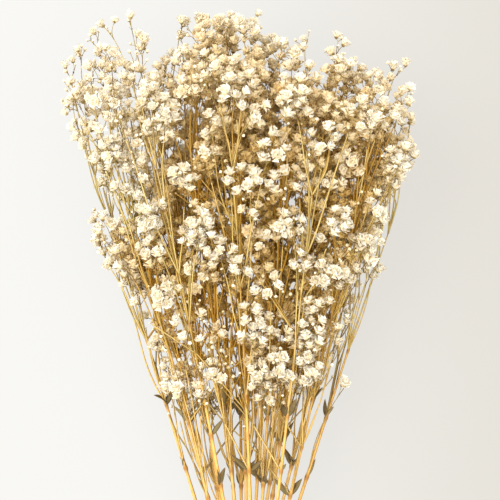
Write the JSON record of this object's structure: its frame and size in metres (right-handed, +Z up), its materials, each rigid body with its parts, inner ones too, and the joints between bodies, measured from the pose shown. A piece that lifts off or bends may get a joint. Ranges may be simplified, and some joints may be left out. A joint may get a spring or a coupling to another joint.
{
  "type": "dried gypsophila bunch",
  "caption": "Dried gypsophila bunch lying down: straight stems tied with twine spread into a fan of thin forking twigs that end in small ruffled white blooms.",
  "frame": {"origin": "flat underside of the twine tie, on the surface that the bunch lies on, under the middle of the tied stems", "axes": "+Y along the bunch from the tie to the flower heads, +Z up from the surface it lies on, +X to the right seen from above with the flowers at the top"},
  "size_m": [0.2439, 0.5372, 0.1336],
  "materials": {
    "dried_stem": "matte straw, ochre towards the cut ends",
    "dried_bloom": "papery ivory petals, tan at the edges",
    "dried_leaf": "matte dark olive",
    "twine": "rough natural jute"
  },
  "bodies": {
    "root": {"stem_01": "dried_stem", "stem_02": "dried_stem", "stem_03": "dried_stem", "stem_04": "dried_stem", "stem_05": "dried_stem", "stem_06": "dried_stem", "stem_07": "dried_stem", "stem_08": "dried_stem", "stem_09": "dried_stem", "stem_10": "dried_stem", "stem_11": "dried_stem", "stem_12": "dried_stem", "stem_13": "dried_stem", "stem_14": "dried_stem", "stem_15": "dried_stem", "stem_16": "dried_stem", "stem_17": "dried_stem", "stem_18": "dried_stem", "stem_19": "dried_stem", "twine_tie": "twine"}
  },
  "joints": []
}
